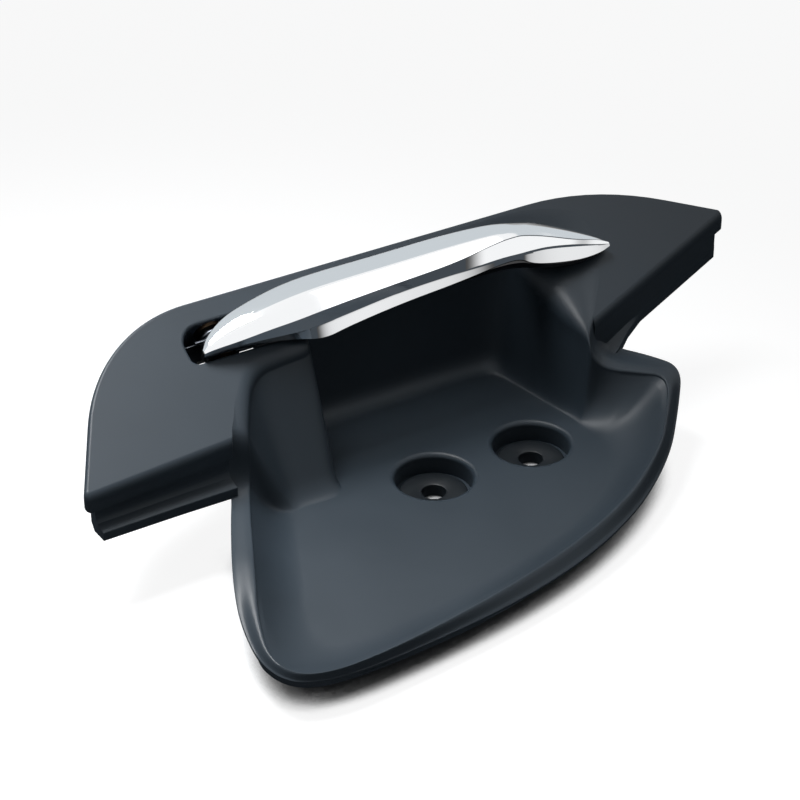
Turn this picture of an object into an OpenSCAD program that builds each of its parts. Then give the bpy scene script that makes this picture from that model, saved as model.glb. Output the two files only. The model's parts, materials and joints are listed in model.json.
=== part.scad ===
// Inside door handle of a car: a moulded bezel with a finger scoop and two trim wings,
// and a chromed pull lever that turns on a pin at its left end, behind the scoop's post.
// Origin: midway between the two fixing screws, on their seats. +Z is the screw axis and
// the moulding's draw direction, +X runs along the lever to its free tip, +Y to the back.

/* [Fixing] */
// Distance between the two screw axes
screw_spacing = 31; // [28:0.5:34]
// Diameter of the screw clearance hole
screw_hole_d = 6.6; // [5:0.1:7]
// Diameter of the seat disc under the screw head
seat_d = 18.4; // [16:0.2:19]
// Thickness of the seat disc
seat_t = 1; // [0.8:0.1:1.5]
// Outer diameter of the tube under the seat disc
sleeve_d = 10; // [9:0.2:11]
// Diameter of the screw recess at the scoop floor
recess_d = 21; // [20:0.2:23]

/* [Face] */
// Angle between the face and the seat plane
face_tilt = 28; // [24:0.5:32]
// Height of the face plane over the seats, at the screw row
face_h = 25.3; // [22:0.5:29]
// Reach of the left wing from the origin
wing_left = 113; // [106:1:120]
// Reach of the right wing from the origin
wing_right = 98.5; // [92:1:104]
// Distance of the back edge behind the screw row
back_reach = 46.7; // [45.5:0.1:48]
// Height of the plate's edge
edge_h = 4.8; // [4:0.1:6]
// Radius along the plate's upper edge
edge_r = 1.3; // [0.8:0.1:1.6]
// Wall thickness of the moulding
wall = 2.6; // [2:0.1:3]

/* [Scoop] */
// Height of the scoop floor over the seats
floor_h = 5; // [4:0.2:6]
// Reach of the scoop in front of the screw row
scoop_front = 61; // [56:1:66]
// Height of the left trim ledge over the seats
ledge_left_h = 15; // [13:0.5:17]
// Height of the right trim ledge over the seats
ledge_right_h = 18; // [16:0.5:20]
// Height of the front lip over the seats
lip_h = 7.5; // [7:0.1:9]

/* [Lever] */
// Reach of the lever tip from the origin
lever_tip = 57.5; // [54:0.5:62]
// Reach of the lever root from the origin
lever_root = 67; // [66:0.5:67.5]
// Wall of the chromed cap
cap_wall = 2; // [1.6:0.1:2.4]
// Gap between the cap and its carrier
cap_gap = 0.2; // [0.1:0.05:0.3]

/* [Hinge] */
// Distance of the hinge pin to the left of the origin
pin_x = 60; // [59:0.5:61]
// Depth of the pin axis under the face
pin_depth = 4.6; // [4.4:0.1:5]
// Diameter of the hinge pin
pin_d = 4; // [3.6:0.1:4.4]
// Radial clearance of the pin in the lever
pin_clear = 0.06; // [0.03:0.01:0.1]
// Outer diameter of the lever's knuckle
knuckle_d = 7.4; // [7:0.1:7.8]
// Outer diameter of the hinge bushes
bush_d = 6.4; // [6:0.1:7]

/* [Hidden] */
$fn = 48;

slope = tan(face_tilt);

// Height of the face plane at depth y
function face_z(y) = face_h + y * slope;

// Quadratic blend through a closed ring of control rows: it touches the middle of every side
function blend_at(rows, i, t) =
    let (n = len(rows),
         a = rows[(i + n - 1) % n],
         b = rows[i % n],
         c = rows[(i + 1) % n])
    (a + b) / 2 * (1 - t) * (1 - t) + b * 2 * t * (1 - t) + (b + c) / 2 * t * t;
function blend_ring(rows, steps) =
    [for (i = [0 : len(rows) - 1], k = [0 : steps - 1]) blend_at(rows, i, k / steps)];

// Rows of the scoop, clockwise from the front end of the left ledge. Each row holds
// floor x, y; mouth x, y, z; share of the run in the foot fillet; foot height;
// lip width, lip height; outer edge x, y, z.
function face_row(fx, fy, mx, my, dip, run, foot, lip_w, lip_t, ex, ey) =
    [fx, fy, mx, my, face_z(my) - dip, run, foot, lip_w, lip_t, ex, ey, face_z(ey)];

left_rows = [
    [-69, -26, -83, -26, ledge_left_h, 0.9, 7.5, 0.8, 0.8, -88.3, -23.5, ledge_left_h],
    [-60, -6, -74, -7, ledge_left_h, 0.9, 7.5, 0.8, 0.8, -78.6, -4.5, ledge_left_h],
    [-56, 2, -67.5, 6, ledge_left_h, 0.9, 7.5, 0.8, 0.8, -72.5, 6.5, ledge_left_h],
    [-55, 4, -66, 8, ledge_left_h + 4, 0.8, 7, 1.2, 1.2, -70, 9, ledge_left_h + 4],
    [-54.5, 4.5, -65.5, 9.2, 28.5, 0.5, 6, 1.6, 1.6, -69.6, 10.3, 29.5],
    face_row(-54, 5, -63.5, 13, 0, 0.35, 6, 2.2, 2.2, -67.5, 14.5),
];
post_rows = [
    face_row(-52.5, 5, -56, 25, 0, 0.28, 5, 1.8, 1.8, -59, 28),
    face_row(-47, 4.5, -46, 26, 0, 0.28, 5, 1.3, 1.3, -46, 28.3),
    face_row(-42, 4.5, -38, 26, 0, 0.28, 5, 1.3, 1.3, -40, 28.4),
    face_row(-38.5, 8, -37, 28, 0, 0.3, 5, 1.2, 1.2, -39.7, 29.7),
];
back_rows = [
    face_row(-37, 24, -36.5, 38, 0, 0.5, 6, 1.2, 1.2, -39.4, 38.5),
    face_row(-32, 34, -35, 42, 0, 0.75, 7, 1.8, 1.8, -36, 45),
    face_row(-5, 34.5, -5, 42, 0, 0.75, 7, 1.8, 1.8, -5, 45),
    face_row(20, 35, 22, 42, 0, 0.75, 7, 1.8, 2, 23, 45),
    face_row(25.5, 33.5, 31, 40, 2, 0.6, 7, 3, 4, 43, 45.2),
];
right_rows = [
    face_row(28, 26, 34, 31, 4, 0.5, 7, 5, 6, 62, 40),
    face_row(30, 14, 36, 18, 2.5, 0.5, 7, 5, 6, 57.7, 23.7),
    face_row(31.5, 6, 36, 8.5, 0.4, 0.6, 8, 2.2, 2.6, 41.2, 10.7),
    [32, 2, 36.3, 4, 25, 0.7, 9, 1.6, 1.6, 40.8, 9.6, 25],
    [32, -1, 41, 2.5, ledge_right_h + 1.5, 0.85, 10, 1.2, 1.2, 49.5, 10.5, ledge_right_h + 1.5],
    [32, -6, 49, -2, ledge_right_h, 0.9, 10, 0.8, 0.8, 57, 3.5, ledge_right_h],
    [32, -9, 56, -6, ledge_right_h - 1, 0.9, 10, 0.8, 0.8, 62, -4.5, ledge_right_h - 1],
];
front_rows = [
    [30.5, -15, 48.5, -16.5, 14, 0.9, 7, 0.8, 0.8, 55.5, -12.5, 10.8],
    [26, -22, 37.5, -28, 11, 0.9, 4.5, 0.8, 0.8, 41.5, -28, 7.3],
    [10, -35, 15, -41.5, 8.5, 0.9, 2.4, 0.8, 0.8, 17, -44.5, 5.4],
    [-20, -44.5, -18, -52.3, lip_h, 0.9, 1.6, 0.8, 0.8, -16.5, -56, 4.4],
    [-58, -50, -60, -scoop_front + 1, lip_h, 0.9, 1.6, 0.8, 0.8, -60, -scoop_front - 0.7, 5],
    [-74, -51, -86, -scoop_front - 1, lip_h + 0.5, 0.9, 2, 0.8, 0.8, -87.4, -scoop_front - 1.7, 6.2],
    [-77, -46, -93.5, -53, 9.5, 0.9, 3, 0.8, 0.8, -95.6, -53.6, 7.6],
    [-74, -34, -89, -38, 12.5, 0.9, 6, 0.8, 0.8, -93.5, -37, 10.5],
];
scoop_rows = concat(left_rows, post_rows, back_rows, right_rows, front_rows);
scoop_steps = 3;
scoop = blend_ring(scoop_rows, scoop_steps);

function unit2(v) = v / norm(v);
function xy(p, z) = [p[0], p[1], z];

// One section of the scoop's wall, from the floor out over the lip and back underneath
function scoop_section(r) =
    let (f = [r[0], r[1]],
         m = [r[2], r[3]],
         e = [r[9], r[10]],
         mz = r[4],
         ez = r[11],
         out = unit2(e - m),
         g = f + (m - f) * r[5],
         gz = floor_h + r[6],
         lip = m + out * r[7],
         wz = mz - r[8],
         reach = min(wall, norm(e - m)),
         under = min(edge_h - 2, max(0.8, ez - floor_h)),
         low = min(gz, ez - 1))
    concat(
        [for (a = [0 : 22.5 : 90]) xy(f + (g - f) * sin(a), floor_h + r[6] * (1 - cos(a)))],
        [xy((g + m) / 2, (gz + wz) / 2)],
        [for (a = [0 : 30 : 90]) xy(m + (lip - m) * (1 - cos(a)), wz + r[8] * sin(a))],
        [for (t = [0.35, 0.7])
            let (q = lip + (e - lip) * t, s = t * t * (3 - 2 * t))
            xy(q, face_z(q[1]) + (mz - face_z(lip[1])) * (1 - s) + (ez - face_z(e[1])) * s)],
        [xy(e, ez), xy(e, ez - 0.8)],
        [xy(m + out * reach, min(mz - r[8], ez - 0.8) - 1)],
        [for (a = [90 : -30 : 0])
            xy(f + (g + out * wall - f) * sin(a), floor_h - wall + (low - floor_h + wall) * (1 - cos(a)))]
    );

// Closed solid from rings of sections around a centre, top and bottom closed by fans
module ring_solid(sections, top, bottom) {
    n = len(sections);
    m = len(sections[0]);
    points = concat([for (s = sections) each s], [top, bottom]);
    sides = [for (i = [0 : n - 1], j = [0 : m - 2])
        let (a = i * m + j, b = ((i + 1) % n) * m + j) each [[a, a + 1, b], [b, a + 1, b + 1]]];
    top_fan = [for (i = [0 : n - 1]) [n * m, i * m, ((i + 1) % n) * m]];
    bottom_fan = [for (i = [0 : n - 1]) [n * m + 1, ((i + 1) % n) * m + m - 1, i * m + m - 1]];
    polyhedron(points, concat(sides, top_fan, bottom_fan), convexity = 8);
}

module scoop_shell() {
    ring_solid([for (r = scoop) scoop_section(r)], [-12, -8, floor_h], [-12, -8, floor_h - wall]);
}

// Polygon whose corners [x, y, radius, steps] are rounded by arcs
function arc_corner(a, v, b, r, steps) =
    let (u = unit2(a - v),
         w = unit2(b - v),
         half = acos(u * w) / 2,
         c = v + unit2(u + w) * r / sin(half),
         s = v + u * r / tan(half) - c,
         side = u[0] * w[1] - u[1] * w[0] > 0 ? -1 : 1,
         turn = side * (180 - 2 * half))
    [for (k = [0 : steps])
        let (q = turn * k / steps) c + [s[0] * cos(q) - s[1] * sin(q), s[0] * sin(q) + s[1] * cos(q)]];
function rounded(corners) =
    let (n = len(corners), p = [for (c = corners) [c[0], c[1]]])
    [for (i = [0 : n - 1])
        each arc_corner(p[(i + n - 1) % n], p[i], p[(i + 1) % n], corners[i][2], corners[i][3])];

// The same polygon moved inwards; the points run clockwise
function inset(pts, d) =
    let (n = len(pts))
    [for (i = [0 : n - 1])
        let (t = unit2(pts[(i + 1) % n] - pts[(i + n - 1) % n])) pts[i] + [t[1], -t[0]] * d];

// Solid from stacked closed rings of equal length, closed by flat ends. The points of a
// ring run clockwise as seen along the stack; turned rings run the other way.
function reversed(v) = [for (i = [len(v) - 1 : -1 : 0]) v[i]];
module stack_solid(rings, turned = false) {
    n = len(rings[0]);
    m = len(rings);
    points = [for (r = rings) each (turned ? reversed(r) : r)];
    sides = [for (j = [0 : m - 2], i = [0 : n - 1])
        let (a = j * n + i, b = j * n + (i + 1) % n) each [[a, b, a + n], [b, b + n, a + n]]];
    first = [for (i = [n - 1 : -1 : 0]) i];
    last = [for (i = [0 : n - 1]) (m - 1) * n + i];
    polyhedron(points, concat([first], sides, [last]), convexity = 8);
}

// Upright prism over a plan shape, cut off parallel to the face above and below
module face_slab(high, low) {
    multmatrix([[1, 0, 0, 0], [0, 1, 0, 0], [0, slope, 1, face_h + low], [0, 0, 0, 1]])
        linear_extrude(high - low)
            children();
}

module face_frame() {
    translate([0, 0, face_h])
        rotate([face_tilt, 0, 0])
            children();
}

// Round bar along the hinge axis, between two places on the face's slope
module hinge_bar(d, from, to) {
    face_frame()
        translate([-pin_x, to, -pin_depth])
            rotate([90, 0, 0])
                cylinder(d = d, h = to - from);
}

wing_front_l = 8.9;
wing_front_r = 6.8;
back_left_r = 45;
back_right_r = 90;
plate_outline = rounded([
    [-wing_left - 0.9, 6.1, 1.4, 3],
    [-wing_left + 22.5, back_reach, back_left_r, 8],
    [wing_right - 33.7, back_reach, back_right_r, 6],
    [wing_right - 0.1, 29.5, 1.4, 2],
    [wing_right + 0.1, 27.6, 1.4, 2],
    [34, wing_front_r, 1.4, 1],
    [-60, wing_front_l + 0.2, 1.4, 1]
]);

// Outer edge of the scoop's lip where it lies in the face, a little inside for overlap
lip_overlap = 1.1;
face_lip = [for (r = scoop)
    if (abs(r[11] - face_z(r[10])) < 0.3)
        let (e = [r[9], r[10]], m = [r[2], r[3]]) e - unit2(e - m) * lip_overlap];
scoop_mouth = concat(face_lip, [[42, -12], [-69, -12]]);

module mouth_cut(grow) {
    translate([0, 0, -20])
        linear_extrude(100)
            offset(delta = grow)
                polygon(scoop_mouth);
}

module plate() {
    difference() {
        stack_solid(concat(
            [for (a = [0 : 30 : 90])
                [for (p = inset(plate_outline, edge_r * (1 - sin(a))))
                    xy(p, face_z(p[1]) - edge_r * (1 - cos(a)))]],
            [[for (p = plate_outline) xy(p, face_z(p[1]) - edge_h)]]
        ), true);
        face_slab(-wall, -edge_h - 1)
            offset(delta = -wall - 0.6)
                polygon(plate_outline);
    }
}

skirt_h = 7;
skirt_in = 2.4;
module skirt() {
    face_slab(0.5 - wall, -edge_h - skirt_h)
        difference() {
            offset(delta = -skirt_in)
                polygon(plate_outline);
            offset(delta = -skirt_in - wall)
                polygon(plate_outline);
        }
}

// Cove and flange under a wing's front edge, in steps along the edge.
// Each step holds the edge point, how far the flange flares and its depth under the edge.
cove = [[0.9, 0], [0.9, 0.35], [0.7, 0.5], [0.2, 0.62], [-0.6, 0.7], [-1, 0.74], [-1, 1]];
module cove_wall(steps, out, turned) {
    stack_solid([for (s = steps)
        let (p = [s[0], s[1]], z0 = face_z(s[1]) - edge_h + 0.6, flare = s[2], drop = s[3])
        concat(
            [for (c = cove) xy(p - out * (c[0] > 0 ? c[0] : 0) + out * (c[0] < 0 ? -c[0] : 0) * flare,
                               z0 - drop * c[1])],
            [xy(p - out * (wall - 0.6), z0 - drop), xy(p - out * (wall + 0.9), z0 - drop * 0.75),
             xy(p - out * (wall + 0.9), z0)]
        )], turned);
}
left_out = unit2([0.044, -1]);
right_out = unit2([0.336, -0.94]);
module left_cove() {
    cove_wall([[-wing_left + 3, 7, 3, 8.8], [-88, 8, 3.2, 9.8], [-66, 8.9, 3.4, 10.6]], left_out, true);
}
module right_cove() {
    cove_wall([[wing_right - 3.4, 26.4, 0, 8], [62, 15.9, 0.2, 8.4], [55, 13.6, 1.4, 8.8], [48, 11.4, 3.6, 10], [40, 8.8, 4.4, 10.4]],
        right_out, false);
}

// Slot for the lever's root, seen on the face, and the chamber round it
slot_left = 69.9;
slot_front = 34;
slot_back = 45.2;
chamber_depth = 13;
module slot_outline(grow) {
    polygon(rounded([
        [-slot_left - grow, slot_front - grow, 2 + grow, 3],
        [-slot_left - grow, slot_back + grow, 6 + grow, 5],
        [-35.8 - grow, slot_back + grow, 1, 1],
        [-35.8 - grow, slot_front - grow, 1, 1]
    ]));
}
module chamber_shell() {
    face_frame()
        translate([0, 0, -chamber_depth])
            linear_extrude(chamber_depth - 0.5)
                slot_outline(wall);
}
// The chamber is open to the face; its floor has a way out for the lever's arm
chamber_floor = 1.8;
arm_way = [17.4, 6];
module chamber_cut() {
    face_frame() {
        translate([0, 0, chamber_floor - chamber_depth])
            linear_extrude(chamber_depth - chamber_floor + 4)
                slot_outline(0);
        translate([-pin_x - 4.1, slot_front + 0.6, -chamber_depth - 8])
            cube([arm_way[0], arm_way[1], chamber_depth]);
    }
}

boss_d = bush_d + 2.6;
boss_front = 29.6;
boss_rear = 48.6;
pin_clip_d = pin_d + 1.8;
bush_flange_t = 1;
bush_flange_d = bush_d + 1;

// Recess that takes a screw head, with a rounded mouth
well_floor = -seat_t - 2.5;
lip_round = 1.4;
module well_body() {
    translate([0, 0, well_floor])
        cylinder(d = recess_d + 2 * wall, h = floor_h - well_floor - 0.6);
}
module well_cut() {
    rotate_extrude()
        polygon(concat(
            [[0, -seat_t], [recess_d / 2, -seat_t]],
            [for (a = [0 : 22.5 : 90])
                [recess_d / 2 + lip_round * (1 - cos(a)), floor_h - lip_round * (1 - sin(a))]],
            [[recess_d / 2 + lip_round, floor_h + 1], [0, floor_h + 1]]
        ));
}

// Thin upright web on the hidden side, between two plan points
rib_t = 1.6;
module rib(a, b, low) {
    hull()
        for (p = [a, b])
            translate([p[0], p[1], face_z(p[1]) - low])
                cylinder(d = rib_t, h = low - wall + 0.5, $fn = 8);
}
rib_low = 5.5;
rib_rows = [
    [[-wing_left + 11, 12], [-wing_left + 18, 26]], [[-wing_left + 21, 12], [-wing_left + 29, 38]],
    [[-80, 12], [-74, 28]], [[-76, 36], [-78, 42]], [[63, 20], [64, 40]], [[74.5, 24], [76, 36]],
    [[-wing_left + 16, 20.5], [-72, 21.3]], [[65, 29.5], [wing_right - 9.5, 29.5]]
];

// Tower on the hidden side that carries a spring clip
clip_left = [-wing_left + 29, 24];
clip_right = [wing_right - 31.5, 31];
tower_w = 8;
tower_t = 3;
tower_low = 15;
module tower(at) {
    translate([at[0] - tower_w / 2, at[1] - tower_t / 2, face_z(at[1]) - tower_low])
        cube([tower_w, tower_t, tower_low - wall + 0.3]);
}

buffer_at = [lever_tip - 13.5, 35];
buffer_d = 6;
buffer_top = 0.1;
buffer_low = -8;

module bezel() {
    color("#20242a")
        difference() {
            union() {
                scoop_shell();
                difference() {
                    plate();
                    mouth_cut(0);
                }
                difference() {
                    skirt();
                    mouth_cut(1.7);
                }
                left_cove();
                right_cove();
                chamber_shell();
                hinge_bar(boss_d, boss_front, slot_front + 0.5);
                hinge_bar(boss_d + 1, slot_back - 0.5, boss_rear);
                for (s = [-1, 1])
                    translate([s * screw_spacing / 2, 0, 0])
                        well_body();
                for (i = [0 : len(rib_rows) - 1])
                    rib(rib_rows[i][0], rib_rows[i][1], rib_low + 0.07 * i);
                tower(clip_left);
                tower(clip_right);
            }
            chamber_cut();
            hinge_bar(bush_d + 0.1, boss_front + 1, boss_rear + 8);
            for (s = [-1, 1])
                translate([s * screw_spacing / 2, 0, 0]) {
                    well_cut();
                    translate([0, 0, well_floor - 1])
                        cylinder(d = sleeve_d + 0.2, h = 4);
                }
            face_frame()
                translate([buffer_at[0], buffer_at[1], buffer_low - 2])
                    cylinder(d = buffer_d + 0.1, h = 12);
        }
}

module screw_sleeve(side) {
    translate([side * screw_spacing / 2, 0, 0])
        difference() {
            union() {
                translate([0, 0, -seat_t])
                    cylinder(d = seat_d, h = seat_t);
                translate([0, 0, well_floor])
                    cylinder(d = sleeve_d, h = -well_floor);
            }
            translate([0, 0, well_floor - 1])
                cylinder(d = screw_hole_d, h = 2 - well_floor);
        }
}

module screw_sleeve_left() {
    color("#3a3f46")
        screw_sleeve(-1);
}

module screw_sleeve_right() {
    color("#3a3f46")
        screw_sleeve(1);
}

// Lever rows along the face: u; back edge v, d; ridge v, d; crease v, d; foot of the flank
// v, d; front of the carrier v; height of the carrier's underside in front and behind.
// v runs up the face's slope and d stands off the face.
root_d = -0.8;
lever_rows = [
    [-lever_root, 36.2, 2.2, 34.9, 2.4, 34.6, 1.4, 34.6, 0.2, 34.8, root_d, root_d],
    [-64, 38.8, 3.0, 34.6, 3.7, 34.4, 2.2, 34.5, 0.2, 34.8, root_d, root_d],
    [-58, 42.4, 4.2, 33.9, 5.4, 33.6, 3.6, 34.4, 0.2, 34.8, root_d, root_d],
    [-50, 44.2, 5.2, 33.6, 7.2, 32.6, 4.6, 33.6, 1.0, 34.8, root_d, root_d],
    [-42, 44.8, 6.0, 33.4, 8.2, 31.7, 4.9, 32.0, 1.6, 34.7, 0.7, 0.4],
    [-35, 45.7, 6.7, 33.7, 8.8, 31.7, 5.1, 28.6, 3.0, 30.6, 0.8, 1.2],
    [-27, 46.0, 7.1, 34.1, 9.2, 32.2, 5.7, 29.6, 4.1, 30.2, 2.7, 2.4],
    [-10, 46.3, 7.4, 34.8, 9.6, 33.4, 6.9, 30.9, 5.3, 31.8, 3.0, 2.6],
    [8, 46.6, 7.2, 35.6, 9.6, 33.8, 6.9, 31.8, 5.6, 32.6, 2.9, 2.5],
    [21, 46.2, 6.6, 38.0, 9.2, 33.7, 7.0, 33.2, 6.2, 32.6, 2.4, 2.2],
    [30, 45.0, 6.1, 38.8, 8.4, 33.6, 6.6, 33.3, 5.7, 32.0, 1.8, 1.9],
    [33.5, 44.4, 5.8, 38.4, 8.0, 33.7, 6.3, 31.1, 4.6, 31.2, 1.5, 1.7],
    [38, 43.2, 5.3, 37.0, 7.3, 33.7, 5.7, 30.1, 3.5, 30.6, 0.9, 1.4],
    [47, 39.2, 4.1, 33.6, 6.1, 32.4, 4.6, 29.1, 2.6, 30.0, 0.4, 0.9],
    [54, 34.9, 3.2, 31.8, 4.6, 31.2, 3.7, 29.4, 2.6, 30.2, 0.6, 0.9],
    [lever_tip, 31.8, 2.9, 31.3, 3.2, 31.0, 3.0, 30.5, 2.7, 30.8, 1.4, 1.5]
];
lever_steps = 3;
lever_n = len(lever_rows);
lever_line = concat(
    [lever_rows[0]],
    [for (i = [1 : lever_n - 2], k = [0 : lever_steps - 1]) blend_at(lever_rows, i, (k + 0.5) / lever_steps)],
    [lever_rows[lever_n - 1]]
);

function cap_t(r) = min(cap_wall, 0.3 * (r[4] - r[8]), 0.2 * (r[1] - r[7]));
function cap_skin(r, t) =
    let (b = [r[1], r[2]], ridge = [r[3], r[4]], crease = [r[5], r[6]], foot = [r[7], r[8]],
         back = [r[1] - 0.05 * (r[1] - r[7]), r[2] - 0.35 * (r[4] - r[8])],
         crown = (b + ridge) / 2 + [0, 0.12 * (r[1] - r[3])],
         edge = b * 0.85 + ridge * 0.15 + [0, 0.05 * (r[1] - r[3])])
    [foot + [t, 0], crease + [t, -0.3 * t], ridge + [0.4 * t, -t], crown - [0, t],
     edge + [-0.5 * t, -t], b + [-t, -0.6 * t], back - [t, 0]];
function on_face(u, q) = [u, q[0], q[1]];

module lever_cap() {
    color("#d9dce0")
        face_frame()
            stack_solid([for (r = lever_line)
                [for (q = concat(reversed(cap_skin(r, 0)), cap_skin(r, cap_t(r)))) on_face(r[0], q)]], true);
}

// The carrier fills the cap and stands out under it as a dark band
function carrier_ring(r) =
    let (gap = min(cap_gap, 0.1 * (r[1] - r[7])),
         skin = cap_skin(r, cap_t(r) + gap),
         foot = skin[0],
         back = skin[6],
         w = r[1] - r[9])
    concat(
        reversed([for (k = [1 : 5]) skin[k]]),
        [[foot[0], r[8] - gap], [r[9], r[8] - gap], [r[9] + 0.05 * w, r[10]],
         [r[1] - 0.2 * w, r[11]], [r[1] - 0.1 * w, back[1] - gap], [back[0], back[1] - gap]]
    );
module lever_carrier() {
    color("#15171a")
        face_frame()
            stack_solid([for (r = lever_line) [for (q = carrier_ring(r)) on_face(r[0], q)]], true);
}

// Knuckle on the pin, with the arm that pulls the latch rod
knuckle_front = slot_front + 1.4;
knuckle_rear = 39.9;
arm_reach = 20;
arm_t = 3;
arm_w = 6;
eye_d = 4;
pad_w = 9;
module lever_arm() {
    color("#8d9196")
        difference() {
            union() {
                hinge_bar(knuckle_d, knuckle_front, knuckle_rear);
                face_frame()
                    translate([-pin_x - pad_w / 2, knuckle_front, -pin_depth])
                        cube([pad_w, knuckle_rear - knuckle_front, pin_depth + root_d]);
                face_frame()
                    translate([-pin_x - arm_w / 2, knuckle_front, -pin_depth - arm_reach])
                        cube([arm_w, arm_t, arm_reach]);
                face_frame()
                    translate([-pin_x, knuckle_front + arm_t, -pin_depth - arm_reach])
                        rotate([90, 0, 0])
                            cylinder(d = eye_d + 4, h = arm_t);
            }
            hinge_bar(pin_d + 2 * pin_clear, knuckle_front - 1, knuckle_rear + 1);
            face_frame()
                translate([-pin_x, knuckle_front + arm_t + 1, -pin_depth - arm_reach])
                    rotate([90, 0, 0])
                        cylinder(d = eye_d, h = arm_t + 2);
        }
}

// Bushing of the latch rod, clipped into the arm's eye
rod_d = 2.5;
module rod_bushing() {
    color("#e6e3d8")
        difference() {
            union() {
                face_frame()
                    translate([-pin_x, knuckle_front + arm_t + 1.2, -pin_depth - arm_reach])
                        rotate([90, 0, 0])
                            cylinder(d = eye_d - 0.1, h = arm_t + 2);
                face_frame()
                    translate([-pin_x, knuckle_front + arm_t + 1.2, -pin_depth - arm_reach])
                        rotate([90, 0, 0])
                            cylinder(d = eye_d + 3, h = 1.2);
            }
            face_frame()
                translate([-pin_x, knuckle_front + arm_t + 3, -pin_depth - arm_reach])
                    rotate([90, 0, 0])
                        cylinder(d = rod_d, h = arm_t + 6);
        }
}

pin_end = boss_rear + 1.9;
clip_t = 0.6;
clip_at = boss_rear + 0.4;
groove_d = pin_d - 1;
module hinge_pin() {
    color("#b9bdc2") {
        hinge_bar(pin_d, boss_front + 1.3, clip_at);
        hinge_bar(groove_d, clip_at - 0.2, clip_at + clip_t + 0.2);
        hinge_bar(pin_d, clip_at + clip_t, pin_end);
    }
}

module pin_clip() {
    color("#8b8f94")
        difference() {
            hinge_bar(pin_clip_d, clip_at + 0.04, clip_at + clip_t - 0.04);
            hinge_bar(groove_d + 0.06, clip_at - 1, clip_at + clip_t + 1);
            face_frame()
                translate([-pin_x - groove_d / 2 + 0.1, clip_at - 1, -pin_depth - pin_d - 1])
                    cube([groove_d - 0.2, clip_t + 2, pin_d + 1]);
        }
}

module bush(from, to, flange_from) {
    difference() {
        union() {
            hinge_bar(bush_d, from, to);
            hinge_bar(bush_d + 1.6, flange_from, flange_from + bush_flange_t);
        }
        hinge_bar(pin_d + 0.04, from - 1, to + 2);
    }
}
module bush_front() {
    color("#c9a15a")
        bush(boss_front + 1.2, slot_front + bush_flange_t, slot_front);
}
module bush_rear() {
    color("#c9a15a")
        bush(slot_back - bush_flange_t, boss_rear - 0.2, slot_back - bush_flange_t);
}

// Torsion spring round the pin, wound from a leg under the lever's root
wire_d = 0.9;
coil_r = 3.1;
spring_turns = 2.5;
spring_from = knuckle_rear + 0.3 + wire_d / 2;
spring_to = slot_back - bush_flange_t - 0.3 - wire_d / 2;
spring_n = 40;
spring_path = concat(
    [[-6.4, coil_r, spring_from]],
    [for (k = [0 : spring_n])
        let (a = 90 - 360 * spring_turns * k / spring_n)
        [coil_r * cos(a), coil_r * sin(a), spring_from + (spring_to - spring_from) * k / spring_n]],
    [[-(slot_left - pin_x) + 2.9, -coil_r, spring_to]]
);
function wire_ring(path, i) =
    let (n = len(path),
         t = unit2(path[min(i + 1, n - 1)] - path[max(i - 1, 0)]),
         u = unit2(cross(t, [0, 0, 1])),
         w = cross(t, u))
    [for (a = [0 : 60 : 300]) path[i] + (u * cos(a) + w * sin(a)) * wire_d / 2];
module return_spring() {
    color("#a7abb0")
        face_frame()
            stack_solid([for (i = [0 : len(spring_path) - 1])
                [for (q = wire_ring(spring_path, i)) [q[0] - pin_x, q[2], q[1] - pin_depth]]]);
}

module rest_buffer() {
    color("#1a1a1a")
        face_frame()
            translate([buffer_at[0], buffer_at[1], buffer_low])
                union() {
                    cylinder(d = buffer_d, h = buffer_top - buffer_low - 0.6);
                    translate([0, 0, buffer_top - buffer_low - 0.6])
                        cylinder(d1 = buffer_d, d2 = buffer_d - 1.6, h = 0.6);
                }
}

// Spring steel clip pushed over a tower, its wings catching behind the panel's edge
clip_w = 6.4;
clip_sheet = 0.6;
clip_play = 0.1;
clip_h = 6.4;
module panel_clip(at) {
    half = tower_t / 2 + clip_play;
    translate([at[0] - clip_w / 2, at[1], face_z(at[1]) - tower_low - clip_play])
        rotate([90, 0, 90])
            linear_extrude(clip_w)
                polygon([
                    [-half, 0], [-half, clip_h], [-half - clip_sheet, clip_h],
                    [-half - clip_sheet, 2.4], [-half - 2.6, 5.6], [-half - 3.1, 5.2],
                    [-half - clip_sheet, -clip_sheet], [half + clip_sheet, -clip_sheet],
                    [half + 3.1, 5.2], [half + 2.6, 5.6], [half + clip_sheet, 2.4],
                    [half + clip_sheet, clip_h], [half, clip_h], [half, 0]
                ]);
}
module panel_clip_left() {
    color("#7f848a")
        panel_clip(clip_left);
}
module panel_clip_right() {
    color("#7f848a")
        panel_clip(clip_right);
}

bezel();
lever_cap();
lever_carrier();
lever_arm();
rod_bushing();
hinge_pin();
pin_clip();
bush_front();
bush_rear();
return_spring();
rest_buffer();
screw_sleeve_left();
screw_sleeve_right();
panel_clip_left();
panel_clip_right();
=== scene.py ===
"""Looks of a car's inside door handle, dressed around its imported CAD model."""

import json
import logging
import math
from dataclasses import dataclass, field
from enum import Enum

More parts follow.
